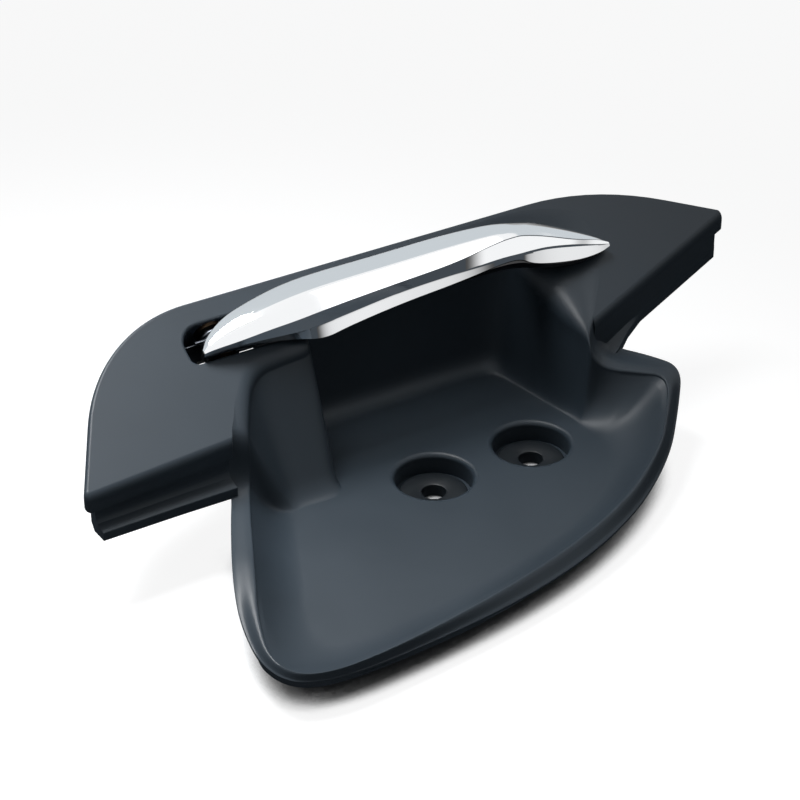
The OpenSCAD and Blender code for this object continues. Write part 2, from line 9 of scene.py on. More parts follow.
import bmesh
import bpy
import numpy as np
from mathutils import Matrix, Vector

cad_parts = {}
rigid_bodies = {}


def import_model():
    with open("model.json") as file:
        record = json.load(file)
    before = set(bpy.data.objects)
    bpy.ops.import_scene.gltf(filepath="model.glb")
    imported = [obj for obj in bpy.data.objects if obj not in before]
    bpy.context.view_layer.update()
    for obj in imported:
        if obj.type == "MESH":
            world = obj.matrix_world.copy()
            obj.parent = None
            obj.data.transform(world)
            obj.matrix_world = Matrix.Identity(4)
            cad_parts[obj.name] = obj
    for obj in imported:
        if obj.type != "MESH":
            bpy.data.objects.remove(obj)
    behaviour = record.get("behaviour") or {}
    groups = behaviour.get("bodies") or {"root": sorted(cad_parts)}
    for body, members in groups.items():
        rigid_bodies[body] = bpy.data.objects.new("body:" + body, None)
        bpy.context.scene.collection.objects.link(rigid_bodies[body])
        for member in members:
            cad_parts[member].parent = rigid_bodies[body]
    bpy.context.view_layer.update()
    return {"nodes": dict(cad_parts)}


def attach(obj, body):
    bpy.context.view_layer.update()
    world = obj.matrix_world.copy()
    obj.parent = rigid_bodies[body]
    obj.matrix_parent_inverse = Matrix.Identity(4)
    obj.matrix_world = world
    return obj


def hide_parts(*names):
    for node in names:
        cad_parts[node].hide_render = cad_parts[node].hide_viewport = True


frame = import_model()

logging.basicConfig(level=logging.INFO, format="%(message)s")
log = logging.getLogger("door_handle")

MM = 0.001
Point = tuple[float, ...]
Solid = bpy.types.Object
Tree = bpy.types.NodeTree
Socket = bpy.types.NodeSocket
WHITE = (1.0, 1.0, 1.0, 1.0)

SCREWS_X = (-15.5, 15.5)
# place of the hinge pin along the lever, and its depth under the face
PIN_X = 60.0
PIN_DEPTH = 4.6


# --- Small helpers ---


def srgb(code: str) -> tuple[float, float, float, float]:
    """Turns an sRGB hex value into linear colour.

    Args:
        code: six hex digits, with or without a leading hash.

    Returns:
        Linear red, green, blue and an alpha of one.
    """
    digits = code.lstrip("#")
    channels = [int(digits[i : i + 2], 16) / 255 for i in (0, 2, 4)]
    linear = [c / 12.92 if c <= 0.04045 else ((c + 0.055) / 1.055) ** 2.4 for c in channels]
    return (linear[0], linear[1], linear[2], 1.0)


def deselect() -> None:
    """Deselects everything, because operators act on all that is selected."""
    for obj in bpy.context.view_layer.objects:
        obj.select_set(False)


def pick(obj: Solid) -> None:
    """Makes one object the only selected and the active one.

    Args:
        obj: the object.
    """
    deselect()
    obj.select_set(True)
    bpy.context.view_layer.objects.active = obj


def mesh_piece(name: str, points: np.ndarray, faces: list) -> Solid:
    """Makes a mesh object from points in millimetres.

    Args:
        name: name of the piece.
        points: array of x, y, z rows in millimetres.
        faces: lists of point numbers.

    Returns:
        The new object, at the origin, with its normals pointing outwards.
    """
    mesh = bpy.data.meshes.new(name)
    mesh.from_pydata([tuple(p) for p in np.asarray(points, float) * MM], [], faces)
    mesh.update()
    work = bmesh.new()
    work.from_mesh(mesh)
    bmesh.ops.recalc_face_normals(work, faces=work.faces)
    work.to_mesh(mesh)
    work.free()
    obj = bpy.data.objects.new(name, mesh)
    bpy.context.scene.collection.objects.link(obj)
    return obj


def stack(name: str, rings: list, looped: bool = False) -> Solid:
    """Joins closed rings of equal length into a solid.

    Args:
        name: name of the piece.
        rings: lists of points in millimetres, one list for each ring.
        looped: whether the last ring joins the first one, in place of two flat ends.

    Returns:
        The closed solid.
    """
    n, m = len(rings[0]), len(rings)
    points = np.array([p for ring in rings for p in ring], float)
    faces = [
        (j * n + i, j * n + (i + 1) % n, (j + 1) % m * n + (i + 1) % n, (j + 1) % m * n + i)
        for j in range(m if looped else m - 1)
        for i in range(n)
    ]
    if not looped:
        faces += [tuple(range(n)), tuple((m - 1) * n + i for i in range(n))]
    return mesh_piece(name, points, faces)


def turned(profile: list, x: float) -> list:
    """Turns a profile of radius and height about an upright axis at x, for stack()."""
    ways = [(math.cos(a), math.sin(a)) for a in np.linspace(0, 2 * math.pi, 96, endpoint=False)]
    return [[np.array([x + r * c, r * s, z]) for c, s in ways] for r, z in profile]


def quarter(steps: int) -> list[tuple[float, float]]:
    """Returns one less sine and one less cosine along a quarter turn, for rolled edges."""
    turn = np.radians(np.linspace(0, 90, steps + 1))
    return [(1 - math.sin(a), 1 - math.cos(a)) for a in turn]


def apply_all(obj: Solid) -> None:
    """Applies every modifier of an object in order.

    Args:
        obj: the object.
    """
    pick(obj)
    for modifier in list(obj.modifiers):
        bpy.ops.object.modifier_apply(modifier=modifier.name)


def settle(obj: Solid) -> Solid:
    """Puts an object's place, turn and scale into its mesh.

    Args:
        obj: the object.

    Returns:
        The same object.
    """
    pick(obj)
    bpy.ops.object.transform_apply(location=True, rotation=True, scale=True)
    return obj


def bar(
    name: str, a: Point | np.ndarray, b: Point | np.ndarray, radius: float, sides: int = 96
) -> Solid:
    """Adds a round bar between two points in millimetres.

    Args:
        name: name of the piece.
        a: middle of one end.
        b: middle of the other end.
        radius: radius of the bar.
        sides: number of flats round it.

    Returns:
        The bar.
    """
    start, end = Vector([float(c) for c in a]) * MM, Vector([float(c) for c in b]) * MM
    turn = (end - start).to_track_quat("Z", "Y").to_euler()
    deselect()
    bpy.ops.mesh.primitive_cylinder_add(
        vertices=sides, radius=radius * MM, depth=(end - start).length,
        location=(start + end) / 2, rotation=turn,
    )
    obj = bpy.context.active_object
    obj.name = name
    return settle(obj)


def block(name: str, low: Point, high: Point, turn: float = 0.0) -> Solid:
    """Adds a block between two corners in millimetres, turned about its upright axis.

    Args:
        name: name of the piece.
        low: lowest corner before the turn.
        high: highest corner before the turn.
        turn: angle in radians.

    Returns:
        The block.
    """
    middle = [(p + q) / 2 * MM for p, q in zip(low, high)]
    deselect()
    bpy.ops.mesh.primitive_cube_add(size=1, location=middle, rotation=(0, 0, turn))
    obj = bpy.context.active_object
    obj.name = name
    obj.scale = [(q - p) * MM for p, q in zip(low, high)]
    return settle(obj)


class Cut(Enum):
    """How a tool solid changes the solid that it is used on."""

    JOIN = "UNION"
    REMOVE = "DIFFERENCE"


def carve(obj: Solid, tool: Solid, cut: Cut) -> None:
    """Joins a tool solid to an object or cuts it out, and deletes the tool.

    Args:
        obj: the solid that stays.
        tool: the solid that is used up.
        cut: whether it is joined or removed.
    """
    modifier = obj.modifiers.new(cut.name.lower(), "BOOLEAN")
    modifier.object = tool
    modifier.operation = cut.value
    modifier.solver = "MANIFOLD"
    apply_all(obj)
    bpy.data.objects.remove(tool, do_unlink=True)


def smooth(obj: Solid, degrees: float, weighted: bool = False) -> None:
    """Shades an object smooth, with edges over the given angle kept crisp.

    Args:
        obj: the object.
        degrees: the angle.
        weighted: whether broad faces keep their own direction.
    """
    if weighted:
        work = bmesh.new()
        work.from_mesh(obj.data)
        bmesh.ops.remove_doubles(work, verts=work.verts, dist=2e-6)
        bmesh.ops.dissolve_degenerate(work, edges=work.edges, dist=1e-6)
        bmesh.ops.dissolve_limit(
            work, angle_limit=math.radians(0.25), verts=work.verts, edges=work.edges
        )
        work.to_mesh(obj.data)
        work.free()
    pick(obj)
    bpy.ops.object.shade_smooth_by_angle(angle=math.radians(degrees))
    if weighted:
        modifier = obj.modifiers.new("weighted", "WEIGHTED_NORMAL")
        modifier.keep_sharp = True
        modifier.weight = 80
        apply_all(obj)


def unit(v: np.ndarray) -> np.ndarray:
    """Returns the vector at length one."""
    return v / max(float(np.linalg.norm(v)), 1e-9)


def lift(p: np.ndarray, z: float) -> np.ndarray:
    """Puts a point of the plan at height z."""
    return np.array([*p, z])


def ease(t: float) -> float:
    """Returns a share from zero to one that starts and ends softly."""
    t = min(max(t, 0.0), 1.0)
    return t * t * (3 - 2 * t)


def curve_at(a: np.ndarray, b: np.ndarray, c: np.ndarray, t: float) -> np.ndarray:
    """Returns the point at share t of the quadratic curve from a to c that b pulls."""
    return a * (1 - t) ** 2 + b * 2 * t * (1 - t) + c * t * t


def blend_rows(rows: np.ndarray, steps: int) -> np.ndarray:
    """Blends a closed ring of control rows by a quadratic curve.

    Args:
        rows: one control row after the other.
        steps: how many rows to make for each control row.

    Returns:
        The blended rows.
    """
    out = []
    for i, b in enumerate(rows):
        a, c = rows[i - 1], rows[(i + 1) % len(rows)]
        out += [curve_at((a + b) / 2, b, (b + c) / 2, k / steps) for k in range(steps)]
    return np.array(out)


def bend(a: np.ndarray, corner: np.ndarray, b: np.ndarray, steps: int) -> list:
    """Rounds a corner by a quadratic curve from a to b.

    Args:
        a: where the curve starts.
        corner: the corner that it rounds.
        b: where the curve ends.
        steps: number of steps along the curve.

    Returns:
        The points of the curve, with both ends.
    """
    return [curve_at(a, corner, b, k / steps) for k in range(steps + 1)]


def rounded_outline(corners: list, fineness: float) -> list:
    """Rounds the corners of a plan outline by arcs.

    Args:
        corners: rows of x, y and radius in millimetres.
        fineness: degrees of arc for each step.

    Returns:
        The points of the outline.
    """
    out = []
    for i, (*corner, r) in enumerate(corners):
        v = np.array(corner, float)
        u, w = unit(corners[i - 1][:2] - v), unit(corners[(i + 1) % len(corners)][:2] - v)
        half = math.acos(max(-1.0, min(1.0, float(u @ w)))) / 2
        centre = v + unit(u + w) * r / math.sin(half)
        start = v + u * r / math.tan(half) - centre
        side = -1 if u[0] * w[1] - u[1] * w[0] > 0 else 1
        turn = side * (math.pi - 2 * half)
        steps = max(2, int(abs(math.degrees(turn)) / fineness))
        for k in range(steps + 1):
            c, s = math.cos(turn * k / steps), math.sin(turn * k / steps)
            spoke = np.array([start[0] * c - start[1] * s, start[0] * s + start[1] * c])
            out.append(centre + spoke)
    return out


def inset(points: list, distance: float) -> list:
    """Moves a clockwise outline inwards.

    Args:
        points: the points of the outline.
        distance: how far it moves, in millimetres.

    Returns:
        The points of the new outline.
    """
    out = []
    for i, p in enumerate(points):
        t = unit(points[(i + 1) % len(points)] - points[i - 1])
        out.append(p + np.array([t[1], -t[0]]) * distance)
    return out


# --- Finishes ---


def add_node(
    tree: Tree, kind: str, settings: dict | None = None, links: dict | None = None
) -> bpy.types.Node:
    """Adds a shader node with its settings and links.

    Args:
        tree: the node tree.
        kind: the node's type name.
        settings: values by attribute, input name or input number.
        links: output sockets by input name or number.

    Returns:
        The new node.
    """
    node = tree.nodes.new(kind)
    for name, value in (settings or {}).items():
        if isinstance(name, int) or name in node.inputs:
            node.inputs[name].default_value = value
        else:
            setattr(node, name, value)
    for name, socket in (links or {}).items():
        tree.links.new(socket, node.inputs[name])
    return node


def empty_tree(owner: bpy.types.ID) -> Tree:
    """Gives a material or a world an empty node tree.

    Args:
        owner: the material or world.

    Returns:
        The tree, with no nodes in it.
    """
    owner.use_nodes = True
    owner.node_tree.nodes.clear()
    return owner.node_tree


def noise(tree: Tree, size_mm: float, detail: float, rough: float) -> Socket:
    """Adds a noise on the object's own coordinates.

    Args:
        tree: the node tree.
        size_mm: distance from patch to patch.
        detail: number of finer layers.
        rough: strength of the finer layers.

    Returns:
        The noise's value.
    """
    where = add_node(tree, "ShaderNodeTexCoord").outputs["Object"]
    settings = {"Scale": 1 / (size_mm * MM), "Detail": detail, "Roughness": rough}
    return add_node(tree, "ShaderNodeTexNoise", settings, {"Vector": where}).outputs["Fac"]


@dataclass(frozen=True)
class Grain:
    """A moulded or cast surface's texture.

    Attributes:
        size_mm: distance from bump to bump.
        height_mm: height of the bumps.
        rough: lowest and highest roughness over the surface.
        patch_mm: size of the patches in which the roughness drifts.
    """

    size_mm: float
    height_mm: float
    rough: tuple[float, float]
    patch_mm: float = 30.0


@dataclass(frozen=True)
class Finish:
    """One real material and how its surface was made.

    Attributes:
        name: name of the material and its process.
        colour: sRGB hex of the surface.
        tint: sRGB hex that the colour drifts towards.
        metallic: one for a metal.
        grain: the surface's texture.
        specular: level of the dielectric gloss.
    """

    name: str
    colour: str
    tint: str
    grain: Grain
    metallic: float = 0.0
    specular: float = 0.5

    def material(self) -> bpy.types.Material:
        """Builds the node material, unless it has been built before.

        Returns:
            The material.
        """
        known = bpy.data.materials.get(self.name)
        if known:
            return known
        material = bpy.data.materials.new(self.name)
        tree = empty_tree(material)
        patches = noise(tree, self.grain.patch_mm, 3.0, 0.6)
        grit = noise(tree, self.grain.size_mm, 2.0, 0.55)
        tints = {"data_type": "RGBA", 6: srgb(self.colour), 7: srgb(self.tint)}
        colour = add_node(tree, "ShaderNodeMix", tints, {"Factor": patches})
        low, high = self.grain.rough
        levels = {"From Min": 0.3, "From Max": 0.7, "To Min": low, "To Max": high}
        rough = add_node(tree, "ShaderNodeMapRange", levels, {"Value": patches})
        bumps = {"Strength": 1.0, "Distance": self.grain.height_mm * MM}
        bump = add_node(tree, "ShaderNodeBump", bumps, {"Height": grit})
        shader = add_node(
            tree,
            "ShaderNodeBsdfPrincipled",
            {"Metallic": self.metallic, "Specular IOR Level": self.specular},
            {
                "Base Color": colour.outputs[2],
                "Roughness": rough.outputs["Result"],
                "Normal": bump.outputs["Normal"],
            },
        )
        add_node(tree, "ShaderNodeOutputMaterial", links={"Surface": shader.outputs["BSDF"]})
        return material


# Charcoal ABS from an etched mould: a fine even grain that breaks every highlight into a
# soft sheen. Real grain is about 0.2 mm; drawn at 0.45 mm so that it shows.
MOULDED_ABS = Finish(
    "abs_moulded_fine_grain", "#283139", "#2D3740", Grain(0.45, 0.012, (0.42, 0.5)), specular=0.32
)
# Bright chrome plated on polished plastic: mirror gloss with a faint long wave from the mould.
CHROME_PLATE = Finish(
    "chrome_plated_polished", "#F7F8F9", "#F1F3F5", Grain(9.0, 0.003, (0.05, 0.08)), metallic=1.0
)
# Black glass-filled nylon from a polished tool: darker and a little glossier than the bezel.
BLACK_NYLON = Finish("nylon_moulded_black", "#0C0D0F", "#121417", Grain(0.6, 0.006, (0.3, 0.4)))
# Die-cast zinc alloy with a cloudy skin, in a dark grey far below bare zinc: painted shade for the
# slot that the arm sits in.
ZINC_DARKENED_AS_PAINTED_SHADE = Finish(
    "zinc_die_cast_painted_shade", "#303336", "#282B2E", Grain(0.5, 0.02, (0.6, 0.75), 6.0), metallic=1.0
)
# Natural acetal for the rod bushing: milky white and waxy.
NATURAL_ACETAL = Finish(
    "acetal_moulded_natural", "#DAD6C8", "#E4E1D6", Grain(0.8, 0.005, (0.3, 0.4))
)
# Drawn steel pin with zinc plating and fine marks; its mid grey, darker than the plating's own, is
# painted shade for the slot it lies in.
STEEL_PIN_IN_PAINTED_SHADE = Finish(
    "steel_drawn_zinc_plated_painted_shade", "#6C7075", "#5E6267", Grain(0.3, 0.006, (0.32, 0.44), 5.0),
    metallic=1.0,
)
# Oiled spring steel: mid grey with a slight gloss.
SPRING_STEEL = Finish(
    "spring_steel_oiled", "#6B6F75", "#585C63", Grain(0.35, 0.006, (0.25, 0.36), 5.0), metallic=1.0
)
# Sintered bronze bushes soaked in oil, matte with open pores; their near-black brown is partly the
# oil and partly painted shade for the slot.
BRONZE_OILED_AND_PAINTED_SHADE = Finish(
    "bronze_sintered_oiled_and_painted_shade", "#1E1710", "#17120D", Grain(0.25, 0.02, (0.5, 0.65), 4.0), metallic=1.0
)
# Moulded nitrile rubber: soft black, no gloss.
NITRILE_RUBBER = Finish(
    "nitrile_rubber_moulded", "#15161A", "#1B1C20", Grain(0.5, 0.02, (0.7, 0.82))
)
# Steel sleeves with a black phosphate coat: near black with a grey bloom.
BLACK_PHOSPHATE = Finish(
    "steel_black_phosphate", "#12171B", "#181E23", Grain(0.4, 0.01, (0.34, 0.44), 6.0), specular=0.4
)


def dress(obj: Solid, finish: Finish) -> None:
    """Gives every face of an object one finish."""
    obj.data.materials.clear()
    obj.data.materials.append(finish.material())


# --- The bezel ---


@dataclass
class Face:
    """The sloped face that the handle shows to the cabin.

    Attributes:
        tilt: angle between the face and the screw seats, in degrees.
        height: height of the face over the seats, at the row of screws.
    """

    tilt: float = 28.0
    height: float = 25.3

    def z(self, y: float) -> float:
        """Returns the height of the face at depth y."""
        return self.height + y * math.tan(math.radians(self.tilt))

    def over(self, p: np.ndarray, rise: float) -> np.ndarray:
        """Returns the point of the plan p at a height over the face."""
        return lift(p, self.z(p[1]) + rise)

    def at(self, u: float, v: float, d: float) -> np.ndarray:
        """Returns the point at u along, v up the slope and d off the face."""
        c, s = math.cos(math.radians(self.tilt)), math.sin(math.radians(self.tilt))
        return np.array([u, v * c - d * s, self.height + v * s + d * c])


@dataclass
class Bezel:
    """The moulded bezel: face plate, finger scoop, coves, chamber and recesses.

    Attributes:
        face: the sloped face.
        floor_h: height of the scoop's floor.
        wall: wall thickness.
        wing_left, wing_right: reach of the two wings.
        back_reach: distance of the back edge.
        edge_h: height of the plate's edge.
        edge_r, edge_drop: width and height of the roll along the plate's upper edge.
        scoop_front: reach of the scoop to the front.
        ledge_left_h, ledge_right_h: heights of the ledges beside the wings.
        lip_h: height of the scoop's front lip.
        row_steps: blended rows for each control row.
        seat_t: thickness of the screw seats.
        sleeve_d: width of the sleeves' tubes.
        recess_d, recess_mouth: width of the screw recesses and radius of their roll.
        slot_left, slot_right: places of the slot's ends, both left of the screws.
        slot_front, slot_back: places of the slot's sides on the slope.
        slot_mouth: radius of the roll round the slot.
        chamber_depth, chamber_floor: depth and floor of the box under the slot.
        bush_d, boss_wall: width of the hinge bushes, and what the bosses add to it.
        boss_ends, pin_ends: places on the slope where the bosses and the pin's way end.
        arm_way: two corners of the way that the lever's arm goes through.
        skirt_in, skirt_h: distance of the skirt from the plate's edge, and its height.
        buffer_at, buffer_hole_r: place of the rest buffer on the slope, radius of its hole.
    """

    face: Face = field(default_factory=Face)
    floor_h: float = 5.0
    wall: float = 2.6
    wing_left: float = 113.0
    wing_right: float = 98.5
    back_reach: float = 46.7
    edge_h: float = 4.8
    edge_r: float = 1.35
    edge_drop: float = 2.1
    scoop_front: float = 61.0
    ledge_left_h: float = 15.0
    ledge_right_h: float = 18.0
    lip_h: float = 7.5
    row_steps: int = 12
    seat_t: float = 1.0
    sleeve_d: float = 10.0
    recess_d: float = 21.0
    recess_mouth: float = 1.4
    slot_left: float = 69.9
    slot_right: float = 35.8
    slot_front: float = 34.0
    slot_back: float = 45.2
    slot_mouth: float = 0.9
    chamber_depth: float = 13.0
    chamber_floor: float = 1.8
    bush_d: float = 6.4
    boss_wall: float = 2.6
    boss_ends: Point = (29.6, 48.6)
    pin_ends: Point = (30.6, 56.6)
    arm_way: tuple[Point, Point] = ((-64.1, 34.6), (-46.7, 40.6))
    skirt_in: float = 2.4
    skirt_h: float = 7.0
    buffer_at: Point = (44.0, 35.0)
    buffer_hole_r: float = 3.05

    def rows(self) -> np.ndarray:
        """Lists the control rows of the scoop, clockwise from the left ledge.

        Returns:
            Rows of floor x, y; mouth x, y, z; share of the run in the foot; foot height;
            lip width, lip height; outer edge x, y, z.
        """
        lh, rh, fz = self.ledge_left_h, self.ledge_right_h, self.face.z
        front, lip = self.scoop_front, self.lip_h

        def on_face(
            fx: float, fy: float, mx: float, my: float, dip: float, run: float, foot: float,
            width: float, height: float, ex: float, ey: float,
        ) -> list[float]:
            """Returns a row whose outer edge lies in the face."""
            return [fx, fy, mx, my, fz(my) - dip, run, foot, width, height, ex, ey, fz(ey)]

        left = [
            [-69, -26, -83, -26, lh, 0.9, 7.5, 0.8, 0.8, -88.3, -23.5, lh],
            [-60, -6, -74, -7, lh, 0.9, 7.5, 0.8, 0.8, -78.6, -4.5, lh],
            [-56, 2, -67.5, 6, lh, 0.9, 7.5, 0.8, 0.8, -72.5, 6.5, lh],
            [-55, 4, -66, 8, lh + 4, 0.8, 7, 1.2, 1.2, -71.8, 9.6, lh + 5],
            [-54.5, 4.5, -65.5, 9.2, 28.9, 0.5, 6, 1.6, 1.6, -70.6, 10.4, 30.6],
            on_face(-54, 5, -63.5, 13, 0, 0.35, 6, 3.6, 3.4, -67.5, 14.5),
        ]
        post = [
            on_face(-52.5, 5, -56, 24.6, 0, 0.28, 5, 3.6, 3.4, -59, 28.4),
            on_face(-47, 4.5, -46, 25.2, 0, 0.28, 5, 2.8, 2.8, -46, 28.6),
            on_face(-42, 4.5, -38.4, 25.4, 0, 0.28, 5, 2.6, 2.8, -40.6, 28.6),
            on_face(-38.5, 8, -36.8, 28, 0, 0.3, 5, 2.2, 2.4, -39.9, 29.7),
        ]
        back = [
            on_face(-37, 24, -36.5, 38, 0, 0.5, 6, 1.2, 1.2, -39.4, 38.5),
            on_face(-32, 34, -35, 42, 0, 0.75, 7, 1.8, 1.8, -36, 45),
            on_face(-5, 34.5, -5, 42, 0, 0.75, 7, 1.8, 1.8, -5, 45),
            on_face(20, 35, 22, 42, 0, 0.75, 7, 1.8, 2, 23, 45),
            on_face(25.5, 33.5, 31, 40, 1.4, 0.6, 7, 4, 5, 43, 45.2),
        ]
        right = [
            on_face(28, 26, 34, 31, 2.6, 0.5, 7, 9, 9, 60, 39),
            on_face(30, 15, 35.6, 19, 1.3, 0.5, 7, 8, 8, 54, 23.5),
            on_face(31, 8.5, 36.8, 11.3, 0.5, 0.55, 7, 4, 4, 45.5, 14.2),
            on_face(31.6, 5.4, 37.6, 7.0, 0.3, 0.6, 8, 2.2, 2.4, 41.9, 10.1),
            [32, 2.6, 37.2, 4.9, 26.6, 0.68, 8.5, 1.8, 1.8, 42.3, 10.3, 28],
            [32, 1, 37.4, 3.7, 23.5, 0.74, 9, 1.5, 1.5, 43.8, 10.6, 23.4],
            [32, -1, 41, 2.5, rh + 1.5, 0.85, 10, 1.2, 1.2, 49.5, 10.5, rh + 1.5],
            [32, -6, 49, -2, rh, 0.9, 10, 0.8, 0.8, 57, 3.5, rh],
            [32, -9, 56, -6, rh - 1, 0.9, 10, 0.8, 0.8, 62, -4.5, rh - 1],
        ]
        ahead = [
            [30.5, -15, 48.5, -16.5, 14, 0.9, 7, 0.8, 0.8, 55.5, -12.5, 10.8],
            [26, -22, 37.5, -28, 11, 0.9, 4.5, 0.8, 0.8, 41.5, -28, 7.3],
            [10, -35, 15, -41.5, 8.5, 0.9, 2.4, 0.8, 0.8, 17, -44.5, 5.4],
            [-20, -44.5, -18, -52.3, lip, 0.9, 1.6, 0.8, 0.8, -16.5, -56, 4.4],
            [-58, -50, -60, -front + 1, lip, 0.9, 1.6, 0.8, 0.8, -60, -front - 0.7, 5],
            [-74, -51, -86, -front - 0.9, lip + 0.5, 0.9, 2, 0.8, 0.8, -87.4, -front - 1.52, 6.2],
            [-77, -46, -93.5, -53, 9.5, 0.9, 3, 0.8, 0.8, -95.6, -53.6, 7.6],
            [-74, -34, -89, -38, 12.5, 0.9, 6, 0.8, 0.8, -93.5, -37, 10.5],
        ]
        return np.array(left + post + back + right + ahead, float)

    def section(self, r: np.ndarray) -> list:
        """Draws one section of the scoop's wall.

        Args:
            r: a blended row.

        Returns:
            Points from the floor up the wall, over the lip and back underneath.
        """
        f, m, e = r[0:2], r[2:4], r[9:11]
        mz, run, foot, ez = r[4], r[5], r[6], r[11]
        out = unit(e - m)
        g = f + (m - f) * run
        gz = self.floor_h + foot
        wz = mz - r[8]
        lip = m + out * r[7]
        p_foot, p_wall = lift(g, gz), lift(m, wz)
        # the corner under the foot fillet lies on the wall's line, where that leaves room
        share = run - (1 - run) * foot / max(wz - gz, 0.05)
        share = max(share, 0.45 * run)
        corner = lift(f + (m - f) * share, self.floor_h)
        off_edge = ez - self.face.z(e[1])
        side = max(0.0, 1 - abs(off_edge) / 3)
        lip_z = mz + side * (self.face.z(lip[1]) - self.face.z(m[1]))
        off_lip = lip_z - self.face.z(lip[1])
        points = bend(lift(f, self.floor_h), corner, p_foot, 10)
        points += [p_foot + (p_wall - p_foot) * t for t in (0.25, 0.5, 0.75)]
        points += bend(p_wall, lift(m, mz), lift(lip, lip_z), 8)
        for t in np.linspace(0, 1, 9)[1:]:
            q, s = lip + (e - lip) * t, ease(t)
            points.append(self.face.over(q, off_lip * (1 - s) + off_edge * s))
        # the outer edge is broken, and the skin goes back underneath at wall thickness
        points += [lift(e + out * d, ez - z) for d, z in ((0.1, 0.12), (0.1, 0.7), (-0.1, 0.85))]
        reach = min(self.wall, float(np.linalg.norm(e - m)))
        points.append(lift(m + out * reach, min(wz, ez - 0.8) - 1))
        low, under = min(gz, ez - 1), self.floor_h - self.wall
        g_out = g + out * self.wall
        for k in range(8):
            a = math.radians(90 - 90 * k / 7)
            q = f + (g_out - f) * math.sin(a)
            points.append(lift(q, under + (low - under) * (1 - math.cos(a))))
        return points

    def scoop(self) -> Solid:
        """Builds the scoop's shell from its blended sections.

        Returns:
            The closed shell.
        """
        sections = [self.section(r) for r in blend_rows(self.rows(), self.row_steps)]
        n, m = len(sections), len(sections[0])
        points = [p for s in sections for p in s]
        faces = [
            (i * m + j, i * m + j + 1, (i + 1) % n * m + j + 1, (i + 1) % n * m + j)
            for i in range(n)
            for j in range(m - 1)
        ]
        # the floor and its underside are closed by shrinking rings, so that no long fan shows
        centre = np.array([-12.0, -8.0])
        for start, height in ((0, self.floor_h), (m - 1, self.floor_h - self.wall)):
            ring = [i * m + start for i in range(n)]
            for share in (0.75, 0.5, 0.25):
                new = [len(points) + i for i in range(n)]
                points += [lift(centre + (s[start][:2] - centre) * share, height) for s in sections]
                faces += [(ring[i], ring[(i + 1) % n], new[(i + 1) % n], new[i]) for i in range(n)]
                ring = new
            points.append(lift(centre, height))
            faces += [(ring[i], ring[(i + 1) % n], len(points) - 1) for i in range(n)]
        return mesh_piece("bezel_moulding", np.array(points), faces)

    def outline(self, depth: float = 0.0) -> list:
        """Draws the plan outline of the face plate, clockwise.

        Args:
            depth: how far the outline is moved inwards.

        Returns:
            The points of the outline.
        """
        tip = [(self.wing_right - 0.1, 29.5, 1.4), (self.wing_right + 0.1, 27.6, 1.4)]
        if depth > 1:
            tip = [(self.wing_right + 2.3, 28.3, 1.4)]
        corners = [
            (-self.wing_left - 0.9, 6.1, 1.4),
            (-self.wing_left + 22.5, self.back_reach, 45.0),
            (self.wing_right - 33.7, self.back_reach, 90.0),
            *tip,
            (34.0, 6.8, 1.4),
            (-60.0, 9.1, 1.4),
        ]
        moved = []
        for i, (x, y, r) in enumerate(corners):
            p = np.array([x, y])
            u = unit(p - np.array(corners[i - 1][:2]))
            w = unit(np.array(corners[(i + 1) % len(corners)][:2]) - p)
            n = np.array([u[1], -u[0]]) + np.array([w[1], -w[0]])
            shift = n * depth / (1 + float(u @ w))
            moved.append((*(p + shift), max(r - depth, 0.5)))
        return rounded_outline(moved, 3.0)

    def slab(self, outline: list, levels: list[float], name: str) -> Solid:
        """Builds an upright prism whose ends lie parallel to the face."""
        return stack(name, [[self.face.over(p, level) for p in outline] for level in levels])

    def mouth(self, grow: float) -> Solid:
        """Builds the tool that opens the plate over the scoop.

        Args:
            grow: how far the tool goes past the lip's outer edge; negative stays inside.

        Returns:
            The cutting tool.
        """
        ring = []
        for r in blend_rows(self.rows(), self.row_steps):
            m, e = r[2:4], r[9:11]
            if abs(r[11] - self.face.z(e[1])) < 0.3:
                ring.append(e + unit(e - m) * grow)
        ring += [np.array([42.0 + max(grow, 0), -12.0]), np.array([-69.0 - max(grow, 0), -12.0])]
        return stack("mouth_tool", [[lift(p, z) for p in ring] for z in (-20.0, 80.0)])

    def plate(self) -> Solid:
        """Builds the face plate with its rounded edge, hollow underneath.

        Returns:
            The plate, still closed over the scoop.
        """
        outline = self.outline()
        rings = []
        for along, down in quarter(8):
            ring = inset(outline, self.edge_r * along)
            rings.append([self.face.over(p, -self.edge_drop * down) for p in ring])
        rings.append([self.face.over(p, -self.edge_h) for p in outline])
        plate = stack("plate", rings)
        hollow = self.outline(self.wall + 0.6)
        carve(plate, self.slab(hollow, [-self.wall, -self.edge_h - 1], "tool"), Cut.REMOVE)
        return plate

    def cove_wall(self, steps: list, out: np.ndarray, groove: float) -> Solid:
        """Builds the cove and flange under a wing's front edge.

        Args:
            steps: rows of x, y, flare and depth along the edge.
            out: unit vector from the wing to the front.
            groove: depth of the cove, as a share of the full one.

        Returns:
            The closed wall.
        """
        curve = [
            (0.9, 0.0), (0.9, 0.3), (0.86, 0.38), (0.72, 0.46), (0.45, 0.54), (0.0, 0.615),
            (-0.45, 0.67), (-0.8, 0.71), (-0.95, 0.735), (-1.0, 0.77), (-1.0, 1.0),
        ]
        rings = []
        for x, y, flare, drop in steps:
            p = np.array([x, y])
            top = self.face.z(y) - self.edge_h + 0.6
            inside = -out * (self.wall + 0.9)
            ring = []
            for side, fall in curve:
                shift = -side * groove if side > 0 else -side * flare
                ring.append(lift(p + out * shift, top - drop * fall))
            ring.append(lift(p - out * (self.wall - 0.6), top - drop))
            ring += [lift(p + inside, top - drop * 0.75), lift(p + inside, top)]
            rings.append(ring)
        return stack("cove", rings)

